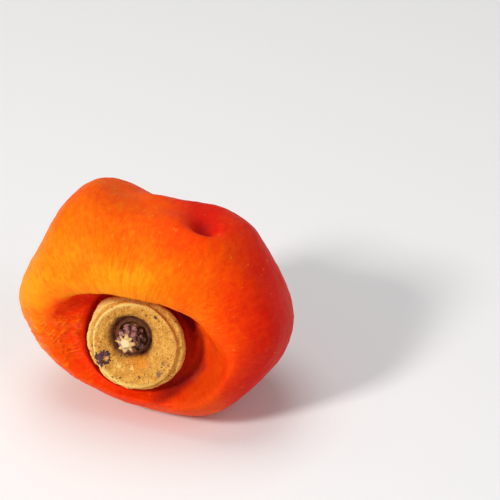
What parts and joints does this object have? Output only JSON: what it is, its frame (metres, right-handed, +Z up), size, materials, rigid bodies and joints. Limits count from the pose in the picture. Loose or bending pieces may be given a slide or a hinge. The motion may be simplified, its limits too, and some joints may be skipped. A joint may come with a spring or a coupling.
{
  "type": "half-dried persimmon",
  "caption": "Whole peeled persimmon, half dried, lying on its side, its trimmed calyx facing forwards out of a sunken mouth.",
  "frame": {"origin": "middle of the fruit's outline seen from above, at the surface that it rests on", "axes": "+Z up, +X along the longest side, -Y towards the side that the calyx faces"},
  "size_m": [0.0544, 0.0437, 0.0449],
  "materials": {
    "flesh": "peeled, half-dried fruit flesh, orange to red, satin with moist spots in the hollow",
    "calyx": "dry, cork-like and matt, tan with fine dark specks",
    "bark": "dry, wrinkled and dark purple-brown",
    "wood": "pale, freshly broken wood"
  },
  "bodies": {
    "root": {"flesh": "flesh", "calyx": "calyx", "stem_bark": "bark", "stem_wood": "wood"}
  },
  "joints": []
}
